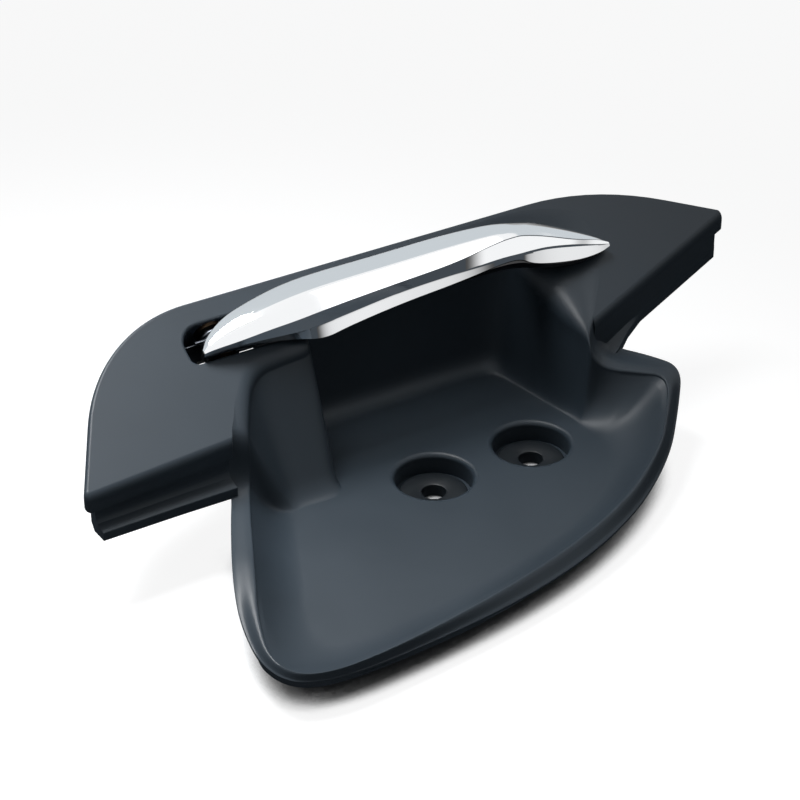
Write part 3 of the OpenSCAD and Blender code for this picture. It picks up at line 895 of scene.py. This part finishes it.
    def hinge_bar(self, d: float, start: float, end: float) -> Solid:
        """Adds a round bar along the hinge axis, between two places on the slope."""
        a, b = (self.face.at(-PIN_X, v, -PIN_DEPTH) for v in (start, end))
        return bar("hinge_bar", a, b, d / 2)

    def slot(self, grow: float, levels: list[tuple[float, float]], name: str) -> Solid:
        """Builds a prism on the lever slot's outline, square to the face.

        Args:
            grow: how far the outline is moved outwards.
            levels: rows of height off the face and extra growth there.
            name: name of the piece.

        Returns:
            The prism.
        """
        rings = []
        for d, extra in levels:
            g = grow + extra
            corners = [
                (-self.slot_left - g, self.slot_front - g, 2 + max(grow, 0) + extra),
                (-self.slot_left - g, self.slot_back + g, 6 + max(grow, 0) + extra),
                (-self.slot_right - grow, self.slot_back + g, 1),
                (-self.slot_right - grow, self.slot_front - g, 1),
            ]
            rings.append([self.face.at(p[0], p[1], d) for p in rounded_outline(corners, 7.5)])
        return stack(name, rings)

    def rib(self, a: Point, b: Point, low: float) -> Solid:
        """Adds a thin upright web on the hidden side, its edges parallel to the face.

        Args:
            a: one end in plan.
            b: the other end in plan.
            low: depth of its free edge under the face.

        Returns:
            The web.
        """
        p, q = np.array(a, float), np.array(b, float)
        half = float(np.linalg.norm(q - p)) / 2
        angle = math.atan2(q[1] - p[1], q[0] - p[0])
        web = block("rib", (-half, -0.8, -low), (half, 0.8, 0.5 - self.wall), angle)
        middle = (p + q) / 2 * MM
        for vertex in web.data.vertices:
            vertex.co.x += middle[0]
            vertex.co.y += middle[1]
            vertex.co.z += self.face.z(vertex.co.y / MM) * MM
        return web

    def coves(self) -> list[Solid]:
        """Builds the coves under both wings.

        Returns:
            The left and the right cove.
        """
        left = [(-self.wing_left + 3, 7, 3, 8.8), (-88, 8, 3.2, 9.8), (-71.6, 8.6, 3.4, 10.6)]
        right = [
            (self.wing_right - 3.4, 26.4, 0, 8), (62, 15.9, 0.2, 8.4),
            (55, 13.6, 1.4, 8.8), (48, 11.4, 3.6, 10), (40, 8.8, 4.4, 10.4),
        ]
        return [
            self.cove_wall(left, unit(np.array([0.044, -1.0])), 1.0),
            self.cove_wall(right, unit(np.array([0.336, -0.94])), 0.12),
        ]

    def skirt(self) -> Solid:
        """Builds the skirt under the wings, open where the scoop is.

        Returns:
            The skirt.
        """
        foot = -self.edge_h - self.skirt_h
        skirt = self.slab(self.outline(self.skirt_in), [0.5 - self.wall, foot], "skirt")
        inner = self.outline(self.skirt_in + self.wall)
        carve(skirt, self.slab(inner, [1.0, foot - 1], "tool"), Cut.REMOVE)
        carve(skirt, self.mouth(1.7), Cut.REMOVE)
        return skirt

    def bosses(self) -> list[Solid]:
        """Builds the chamber, the hinge bosses and the screw wells.

        Returns:
            The solids, in the order in which they are joined.
        """
        depth, boss = self.chamber_depth, self.bush_d + self.boss_wall
        low, high = -3.5, self.floor_h - 0.6
        well_r = self.recess_d / 2 + self.wall
        return [
            self.slot(self.wall, [(-0.5, 0.0), (-depth, 0.0)], "chamber"),
            self.hinge_bar(boss, self.boss_ends[0], self.slot_front + 0.5),
            self.hinge_bar(boss - 0.4, self.slot_back - 0.5, self.boss_ends[1]),
            *[bar("well", (x, 0, low), (x, 0, high), well_r) for x in SCREWS_X],
        ]

    def stiffeners(self) -> list[Solid]:
        """Builds the ribs and the towers of the panel clips on the hidden side.

        Returns:
            The solids, in the order in which they are joined.
        """
        left, right = -self.wing_left, self.wing_right
        ribs = [
            ((left + 11, 12), (left + 18, 26)), ((left + 21, 12), (left + 29, 38)),
            ((-80, 12), (-74, 28)), ((-76, 36), (-78, 42)), ((63, 20), (64, 40)),
            ((74.5, 24), (76, 36)), ((left + 16, 20.5), (-72, 21.3)),
            ((65, 29.5), (right - 9.5, 29.5)),
        ]
        # each rib ends a little lower than the last, so that no two faces coincide
        out = [self.rib(a, b, 5.5 + 0.07 * i) for i, (a, b) in enumerate(ribs)]
        for x, y in ((left + 29, 24), (right - 31.5, 31)):
            low, top = self.face.z(y) - 15, self.face.z(y) - self.wall + 0.3
            out.append(block("tower", (x - 4, y - 1.5, low), (x + 4, y + 1.5, top)))
        return out

    def cutters(self) -> list[Solid]:
        """Builds the tools for the slot, the arm's way, the hinge, the screws and the buffer.

        Returns:
            The tools, in the order in which they are cut out.
        """
        roll, top = self.slot_mouth, self.floor_h
        flare = [(self.chamber_floor - self.chamber_depth, 0.0)]
        flare += [(-roll * along, roll * down) for along, down in quarter(6)] + [(4.0, roll)]
        (left, front), (right, back) = self.arm_way
        corners = ((left, front), (right, front), (right, back), (left, back))
        way = [[self.face.at(u, v, d) for u, v in corners] for d in (-21.0, -8.0)]
        radius, roll = self.recess_d / 2, self.recess_mouth
        recess = [(radius, -self.seat_t)]
        recess += [(radius + roll * down, top - roll * along) for along, down in quarter(8)]
        recess.append((radius + roll, top + 1))
        tools = [
            self.slot(0.0, flare, "slot_tool"),
            stack("arm_way", way),
            self.hinge_bar(self.bush_d + 0.1, *self.pin_ends),
        ]
        for x in SCREWS_X:
            tools.append(stack("recess", turned(recess, x)))
            tools.append(bar("bore", (x, 0, -4.5), (x, 0, 0), self.sleeve_d / 2 + 0.1))
        low, high = (self.face.at(*self.buffer_at, d) for d in (-10.0, 2.0))
        return tools + [bar("buffer_hole", low, high, self.buffer_hole_r, 64)]

    def build(self) -> Solid:
        """Builds the whole bezel.

        Returns:
            The finished moulding, riding on the base in place of its CAD node.
        """
        bezel = self.scoop()
        plate = self.plate()
        carve(plate, self.mouth(-0.5), Cut.REMOVE)
        for tool in (plate, *self.coves(), self.skirt(), *self.bosses(), *self.stiffeners()):
            carve(bezel, tool, Cut.JOIN)
        for tool in self.cutters():
            carve(bezel, tool, Cut.REMOVE)
        smooth(bezel, 32, weighted=True)
        dress(bezel, MOULDED_ABS)
        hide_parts("bezel")
        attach(bezel, "base")
        return bezel


# --- The lever ---


@dataclass
class Lever:
    """The chromed cap and the black carrier that fills it.

    Attributes:
        face: the sloped face that the rows are measured from.
        tip: reach of the lever's tip.
        root: reach of the lever's root.
        cap_wall: wall of the cap.
        gap: gap between the cap and the carrier.
        row_steps: blended rows for each control row.
    """

    face: Face = field(default_factory=Face)
    tip: float = 57.5
    root: float = 67.0
    cap_wall: float = 2.0
    gap: float = 0.2
    row_steps: int = 10

    def rows(self) -> np.ndarray:
        """Lists the lever's control rows along the face.

        Returns:
            Rows of u; back edge v, d; ridge v, d; crease v, d; foot v, d; front of the
            carrier v; height of the carrier's underside in front and behind.
        """
        low = -0.8
        return np.array(
            [
                [-self.root, 36.2, 2.2, 34.9, 2.4, 34.6, 1.4, 34.6, 0.2, 34.8, low, low],
                [-64.5, 39.6, 2.8, 34.6, 3.7, 34.4, 2.2, 34.5, 0.2, 34.8, low, low],
                [-58, 43.4, 4.0, 33.9, 5.4, 33.6, 3.6, 34.4, 0.2, 34.8, low, low],
                [-50, 45.1, 5.1, 33.6, 7.2, 32.6, 4.6, 33.6, 1.0, 34.8, low, low],
                [-42, 46.4, 5.9, 33.4, 8.2, 31.7, 4.9, 32.0, 1.6, 34.7, 0.7, 0.4],
                [-35, 46.8, 6.5, 33.7, 8.8, 31.7, 5.1, 28.6, 3.0, 30.6, 0.8, 1.2],
                [-27, 46.7, 7.0, 34.1, 9.2, 32.2, 5.7, 29.6, 4.1, 30.2, 2.7, 2.4],
                [-10, 46.3, 7.4, 34.8, 9.6, 33.4, 6.9, 30.9, 5.3, 31.8, 3.0, 2.6],
                [8, 46.6, 7.2, 35.6, 9.6, 33.8, 6.9, 31.8, 5.6, 32.6, 2.9, 2.5],
                [22.5, 46.1, 6.6, 38.2, 9.1, 33.7, 7.0, 33.1, 6.2, 32.6, 2.4, 2.2],
                [28.5, 45.2, 6.2, 38.7, 8.5, 33.6, 6.6, 33.1, 5.7, 32.0, 1.8, 1.9],
                [31.5, 44.6, 5.9, 38.6, 8.2, 33.7, 6.4, 31.2, 4.7, 31.2, 1.5, 1.7],
                [38, 43.2, 5.3, 37.0, 7.3, 33.7, 5.7, 30.1, 3.5, 29.8, 0.4, 1.4],
                [47, 39.2, 4.1, 33.6, 6.1, 32.4, 4.6, 29.1, 2.6, 29.0, 0.2, 0.9],
                [54, 34.9, 3.2, 32.6, 4.5, 31.2, 3.7, 29.4, 2.6, 29.5, 0.4, 0.9],
                [self.tip, 31.8, 2.9, 31.5, 3.15, 31.0, 3.0, 30.5, 2.7, 30.8, 1.4, 1.5],
            ],
            float,
        )

    def line(self) -> np.ndarray:
        """Blends the control rows along the lever.

        Returns:
            The blended rows, with both end rows.
        """
        rows = self.rows()
        out = [rows[0]]
        for i in range(1, len(rows) - 1):
            a, b, c = rows[i - 1], rows[i], rows[i + 1]
            for k in range(self.row_steps):
                out.append(curve_at((a + b) / 2, b, (b + c) / 2, (k + 0.5) / self.row_steps))
        out.append(rows[-1])
        return np.array(out)

    def thickness(self, r: np.ndarray) -> float:
        """Returns the cap's wall at a row, thinner where the lever is slim."""
        return float(min(self.cap_wall, 0.3 * (r[4] - r[8]), 0.2 * (r[1] - r[7])))

    def skin(self, r: np.ndarray, t: float) -> list:
        """Draws the cap's section as corners, moved inwards by t.

        Args:
            r: a blended row.
            t: how far inside the outer skin.

        Returns:
            Corners from the foot of the flank over the ridge to the back.
        """
        b, ridge, crease, foot = r[1:3], r[3:5], r[5:7], r[7:9]
        back = np.array([r[1] - 0.05 * (r[1] - r[7]), r[2] - 0.35 * (r[4] - r[8])])
        crown = (b + ridge) / 2 + np.array([0, 0.12 * (r[1] - r[3])])
        edge = b * 0.85 + ridge * 0.15 + np.array([0, 0.05 * (r[1] - r[3])])
        moves = [(1, 0), (1, -0.3), (0.4, -1), (0, -1), (-0.5, -1), (-1, -0.6), (-1, 0)]
        corners = [foot, crease, ridge, crown, edge, b, back]
        return [c + np.array(m) * t for c, m in zip(corners, moves)]

    def outer(self, r: np.ndarray) -> list:
        """Draws the cap's outer skin with its creases softly rounded.

        Towards the tip the upright strip under the ridge thins out to a small step at the
        crease, and a finer one marks the ridge.

        Args:
            r: a blended row.

        Returns:
            Points from the foot of the flank over the ridge to the back.
        """
        foot, crease, ridge, crown, edge, b, back = self.skin(r, 0)
        step = ease((r[0] - 6) / 18) * min(max((self.tip - r[0]) / 12, 0.0), 1.0)
        tilt = math.radians(self.face.tilt)
        up = np.array([math.sin(tilt), math.cos(tilt)])
        crease_top = crease + up * (0.02 + 0.6 * step)
        ridge_low = ridge - up * (0.02 + 0.26 * step)
        points = [foot, foot + (crease - foot) * 0.35, foot + (crease - foot) * 0.86]
        points += [crease + (foot - crease) * 0.03, crease_top]
        points += [crease_top + (ridge_low - crease_top) * k for k in (0.04, 0.35, 0.65, 0.96)]
        points.append(ridge_low)
        points += bend(ridge, ridge + (crown - ridge) * 0.08, ridge + (crown - ridge) * 0.5, 5)
        corners = [ridge, crown, edge, b, back]
        for i in (1, 2, 3):
            p, c, q = corners[i - 1], corners[i], corners[i + 1]
            points += bend(c + (p - c) * 0.5, c, c + (q - c) * 0.5, 6)[1:]
        points.append(back)
        return points

    def cap(self) -> Solid:
        """Builds the chromed cap as a shell over the carrier.

        Returns:
            The finished cap, riding on the lever.
        """
        rings = []
        for r in self.line():
            ring = list(reversed(self.outer(r))) + self.skin(r, self.thickness(r))
            rings.append([self.face.at(r[0], *q) for q in ring])
        cap = stack("lever_cap_chromed", rings)
        smooth(cap, 24)
        dress(cap, CHROME_PLATE)
        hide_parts("lever_cap")
        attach(cap, "lever")
        return cap

    def carrier(self) -> Solid:
        """Builds the black carrier with its rounded lower band.

        Returns:
            The finished carrier, riding on the lever.
        """
        rings = []
        for r in self.line():
            gap = min(self.gap, 0.1 * (r[1] - r[7]))
            skin = self.skin(r, self.thickness(r) + gap)
            foot, back = skin[0], skin[6]
            w = r[1] - r[9]
            corner_front = np.array([r[9] + 0.02 * w, r[10]])
            corner_back = np.array([r[1] - 0.14 * w, r[11]])
            top_front = np.array([r[9], r[8] - gap])
            top_back = np.array([r[1] - 0.1 * w, back[1] - gap])
            across = corner_back - corner_front
            ring = list(reversed(skin[1:6])) + [np.array([foot[0], r[8] - gap]), top_front]
            front = corner_front + (top_front - corner_front) * 0.4
            ring += bend(front, corner_front, corner_front + across * 0.08, 4)
            rear = corner_back + (top_back - corner_back) * 0.4
            ring += bend(corner_back - across * 0.08, corner_back, rear, 4)
            ring += [top_back, np.array([back[0], back[1] - gap])]
            rings.append([self.face.at(r[0], *q) for q in ring])
        carrier = stack("lever_carrier_moulded", rings)
        smooth(carrier, 40)
        dress(carrier, BLACK_NYLON)
        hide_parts("lever_carrier")
        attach(carrier, "lever")
        return carrier


# --- Hinge hardware ---


@dataclass
class Hardware:
    """The return spring, the screw sleeves and the small pieces that the CAD model has.

    Attributes:
        face: the sloped face.
        wire: diameter of the spring's wire.
        coil_r: radius of the coil's centre line.
        turns: number of turns.
        room: places on the slope between which the coil lies.
    """

    face: Face = field(default_factory=Face)
    wire: float = 0.9
    coil_r: float = 3.1
    turns: float = 2.5
    room: tuple[float, float] = (40.2, 43.9)

    def spring(self) -> Solid:
        """Builds the torsion spring as a smooth round wire with two legs.

        Returns:
            The finished spring, riding on the lever.
        """
        start, end = self.room[0] + self.wire / 2, self.room[1] - self.wire / 2
        path = [np.array([x, self.coil_r, start]) for x in (-6.4, -4.0, -2.0)]
        for t in np.linspace(0, 1, 141):
            a = math.radians(90 - 360 * self.turns * t)
            x, y = self.coil_r * math.cos(a), self.coil_r * math.sin(a)
            path.append(np.array([x, y, start + (end - start) * t]))
        path += [np.array([x, -self.coil_r, end]) for x in (-2.0, -4.5, -7.0)]
        rings = []
        for i, p in enumerate(path):
            along = unit(path[min(i + 1, len(path) - 1)] - path[max(i - 1, 0)])
            u = unit(np.cross(along, np.array([0.0, 0.0, 1.0])))
            w = np.cross(along, u)
            ring = []
            for a in np.linspace(0, 2 * math.pi, 12, endpoint=False):
                q = p + (u * math.cos(a) + w * math.sin(a)) * self.wire / 2
                ring.append(self.face.at(q[0] - PIN_X, q[2], q[1] - PIN_DEPTH))
            rings.append(ring)
        spring = stack("torsion_spring", rings)
        smooth(spring, 50)
        dress(spring, SPRING_STEEL)
        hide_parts("return_spring")
        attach(spring, "lever")
        return spring

    def sleeve(self, x: float, node: str) -> Solid:
        """Turns a screw's seat disc and tube with broken edges.

        Args:
            x: place of the screw.
            node: the CAD node that it stands for.

        Returns:
            The sleeve.
        """
        profile = [
            (3.3, -3.5), (3.3, -0.3), (3.4, -0.08), (3.6, 0.0), (8.7, 0.0), (8.95, -0.06),
            (9.13, -0.22), (9.2, -0.45), (9.2, -1.0), (5.0, -1.0), (5.0, -3.5),
        ]
        sleeve = stack(node + "_turned", turned(profile, x), looped=True)
        smooth(sleeve, 40)
        dress(sleeve, BLACK_PHOSPHATE)
        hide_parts(node)
        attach(sleeve, "base")
        return sleeve

    def dress_nodes(self) -> None:
        """Gives the CAD nodes that stay their finishes, with the arm, the pin and the bushes
        darkened as painted shade.
        """
        finishes = {
            "lever_arm": ZINC_DARKENED_AS_PAINTED_SHADE,
            "rod_bushing": NATURAL_ACETAL,
            "hinge_pin": STEEL_PIN_IN_PAINTED_SHADE,
            "pin_clip": SPRING_STEEL,
            "bush_front": BRONZE_OILED_AND_PAINTED_SHADE,
            "bush_rear": BRONZE_OILED_AND_PAINTED_SHADE,
            "rest_buffer": NITRILE_RUBBER,
            "panel_clip_left": SPRING_STEEL,
            "panel_clip_right": SPRING_STEEL,
        }
        for name, finish in finishes.items():
            dress(frame["nodes"][name], finish)
            log.info("dressed %s in %s", name, finish.name)


# --- Studio ---


@dataclass
class Studio:
    """Floor, lamps, backdrop and camera.

    Attributes:
        floor_z: height of the floor in metres.
        camera_at: camera position in metres.
        camera_turn: camera rotation in degrees.
        lens: focal length in millimetres.
        fill: level of the plain light that comes from all round.
    """

    floor_z: float = -0.0036
    camera_at: Point = (-0.3188, -0.4872, 0.3946)
    camera_turn: Point = (57.5, 0.0, -31.0)
    lens: float = 117.0
    fill: float = 0.09

    def camera(self) -> None:
        """Places the camera at the photograph's angle."""
        data = bpy.data.cameras.new("camera")
        data.lens = self.lens
        data.sensor_width = 36
        data.clip_start = 0.01
        camera = bpy.data.objects.new("camera", data)
        camera.location = self.camera_at
        camera.rotation_euler = [math.radians(a) for a in self.camera_turn]
        bpy.context.scene.collection.objects.link(camera)
        bpy.context.scene.camera = camera

    def rays(self, tree: Tree) -> tuple[Socket, Socket]:
        """Tells apart the rays of the eye, those of gloss and glass, and the rest.

        Args:
            tree: the node tree.

        Returns:
            The socket that is one for the eye, and the one for gloss and glass.
        """
        path = add_node(tree, "ShaderNodeLightPath").outputs
        gloss = self.sum_of(tree, "MAXIMUM", path["Is Glossy Ray"], path["Is Transmission Ray"])
        return path["Is Camera Ray"], gloss

    def sum_of(
        self, tree: Tree, operation: str, a: Socket | float, b: Socket | float
    ) -> Socket:
        """Puts two sockets or numbers through one sum.

        Args:
            tree: the node tree.
            operation: name of the sum.
            a: first socket or number.
            b: second socket or number.

        Returns:
            The socket of the outcome.
        """
        node = add_node(tree, "ShaderNodeMath", {"operation": operation})
        for slot, value in zip(node.inputs, (a, b)):
            if isinstance(value, float):
                slot.default_value = value
            else:
                tree.links.new(value, slot)
        return node.outputs[0]

    def floor(self) -> None:
        """Lays a plain pale floor that keeps the object's shadow, with a painted shadow where its
        glow fades under the handle.
        """
        deselect()
        bpy.ops.mesh.primitive_plane_add(size=6, location=(0, 0, self.floor_z))
        floor = bpy.context.active_object
        floor.name = "floor"
        material = bpy.data.materials.new("floor_pale_matte")
        tree = empty_tree(material)
        matte = {"Base Color": srgb("#8E9092"), "Roughness": 0.9, "Specular IOR Level": 0.1}
        shader = add_node(tree, "ShaderNodeBsdfPrincipled", matte)
        # painted shadow: ambient occlusion dims the floor's glow under and near the handle
        cover = add_node(tree, "ShaderNodeAmbientOcclusion", {"samples": 16, "Distance": 0.025})
        limits = {"From Min": 0.36, "From Max": 0.56}
        painted_shadow_mask = add_node(tree, "ShaderNodeMapRange", limits, {"Value": cover.outputs["AO"]})
        white = self.sum_of(tree, "MULTIPLY", self.sum_of(tree, "MAXIMUM", *self.rays(tree)), 0.9)
        strength = self.sum_of(tree, "MULTIPLY", white, painted_shadow_mask.outputs["Result"])
        glow = add_node(tree, "ShaderNodeEmission", {"Color": WHITE}, {"Strength": strength})
        sockets = {0: shader.outputs["BSDF"], 1: glow.outputs["Emission"]}
        both = add_node(tree, "ShaderNodeAddShader", links=sockets)
        add_node(tree, "ShaderNodeOutputMaterial", links={"Surface": both.outputs["Shader"]})
        floor.data.materials.append(material)

    def card(self, name: str, low: Point, high: Point, z: float, colour: str) -> None:
        """Hangs a level glowing card that only the glossy surfaces mirror: a painted reflection.

        Args:
            name: name of the card.
            low: lowest x and y in metres.
            high: highest x and y in metres.
            z: height in metres.
            colour: sRGB hex of the painted reflection that it sends to the glossy surfaces.
        """
        deselect()
        middle = ((low[0] + high[0]) / 2, (low[1] + high[1]) / 2, z)
        bpy.ops.mesh.primitive_plane_add(size=1, location=middle)
        card = bpy.context.active_object
        card.name = name
        card.scale = (high[0] - low[0], high[1] - low[1], 1)
        settle(card)
        material = bpy.data.materials.new(name + "_cloth")
        tree = empty_tree(material)
        glow = add_node(tree, "ShaderNodeEmission", {"Color": srgb(colour)})
        add_node(tree, "ShaderNodeOutputMaterial", links={"Surface": glow.outputs["Emission"]})
        card.data.materials.append(material)
        card.visible_camera = card.visible_diffuse = card.visible_shadow = False
        card.visible_transmission = False

    def lamp(
        self, name: str, at: Point, aim: Point, size: float, power: float, spread: float = 180.0
    ) -> None:
        """Hangs a soft square lamp.

        Args:
            name: name of the lamp.
            at: position in metres.
            aim: point that it faces, in metres.
            size: edge length in metres.
            power: power in watts.
            spread: angle of its light in degrees.
        """
        data = bpy.data.lights.new(name, "AREA")
        data.shape = "SQUARE"
        data.size = size
        data.energy = power
        data.spread = math.radians(spread)
        lamp = bpy.data.objects.new(name, data)
        lamp.location = at
        lamp.rotation_euler = (Vector(aim) - Vector(at)).to_track_quat("-Z", "Y").to_euler()
        bpy.context.scene.collection.objects.link(lamp)

    def world(self) -> None:
        """Fills the studio with plain light and a white backdrop for the eye; for gloss, a painted
        reflection that is white overhead and darkens towards the floor.
        """
        world = bpy.data.worlds.new("studio")
        bpy.context.scene.world = world
        tree = empty_tree(world)
        # painted reflection: only gloss sees the backdrop darken towards the floor, while the
        # diffuse light stays a plain fill
        way = add_node(tree, "ShaderNodeTexCoord").outputs["Generated"]
        height = add_node(tree, "ShaderNodeSeparateXYZ", links={"Vector": way}).outputs["Z"]
        painted_reflection_levels = {"From Min": -0.02, "From Max": 0.5, "To Min": 0.07, "To Max": 1.0}
        painted_reflection_levels["interpolation_type"] = "SMOOTHSTEP"
        rise = add_node(tree, "ShaderNodeMapRange", painted_reflection_levels, {"Value": height}).outputs["Result"]
        eye, gloss = self.rays(tree)
        shown = self.sum_of(tree, "MAXIMUM", eye, self.sum_of(tree, "MULTIPLY", gloss, rise))
        seen = self.sum_of(tree, "MAXIMUM", eye, gloss)
        rest = self.sum_of(tree, "MULTIPLY", self.sum_of(tree, "SUBTRACT", 1.0, seen), self.fill)
        level = self.sum_of(tree, "ADD", shown, rest)
        light = add_node(tree, "ShaderNodeBackground", {"Color": WHITE}, {"Strength": level})
        add_node(tree, "ShaderNodeOutputWorld", links={"Surface": light.outputs["Background"]})

    def build(self) -> None:
        """Sets up camera, floor, lamps and view settings."""
        self.camera()
        self.floor()
        self.lamp("key_left", (-0.12, 0.15, 0.44), (-0.12, -0.01, 0), 0.2, 0.42, 56)
        self.lamp("sheen_right", (0.36, 0.04, 0.75), (0, 0.02, 0.02), 0.3, 0.22)
        # glowing cards that only gloss sees: painted reflections, a grey band overhead and a dark
        # floor
        self.card("painted_reflection_grey_overhead", (-1.0, 0.26), (2.0, 2.6), 0.7, "#D0D6DA")
        self.card("dark_cloth", (-3.0, -3.0), (3.0, 0.4), self.floor_z + 0.0002, "#444A50")
        self.world()
        bpy.context.scene.view_settings.view_transform = "Standard"


def main() -> None:
    """Builds the pieces in order and reports each one."""
    Studio().build()
    lever, hardware = Lever(), Hardware()
    pieces = [Bezel().build(), lever.cap(), lever.carrier(), hardware.spring()]
    for x, side in zip(SCREWS_X, ("left", "right")):
        pieces.append(hardware.sleeve(x, "screw_sleeve_" + side))
    for piece in pieces:
        log.info("built %s with %d faces", piece.name, len(piece.data.polygons))
    hardware.dress_nodes()


if __name__ == "__main__":
    main()
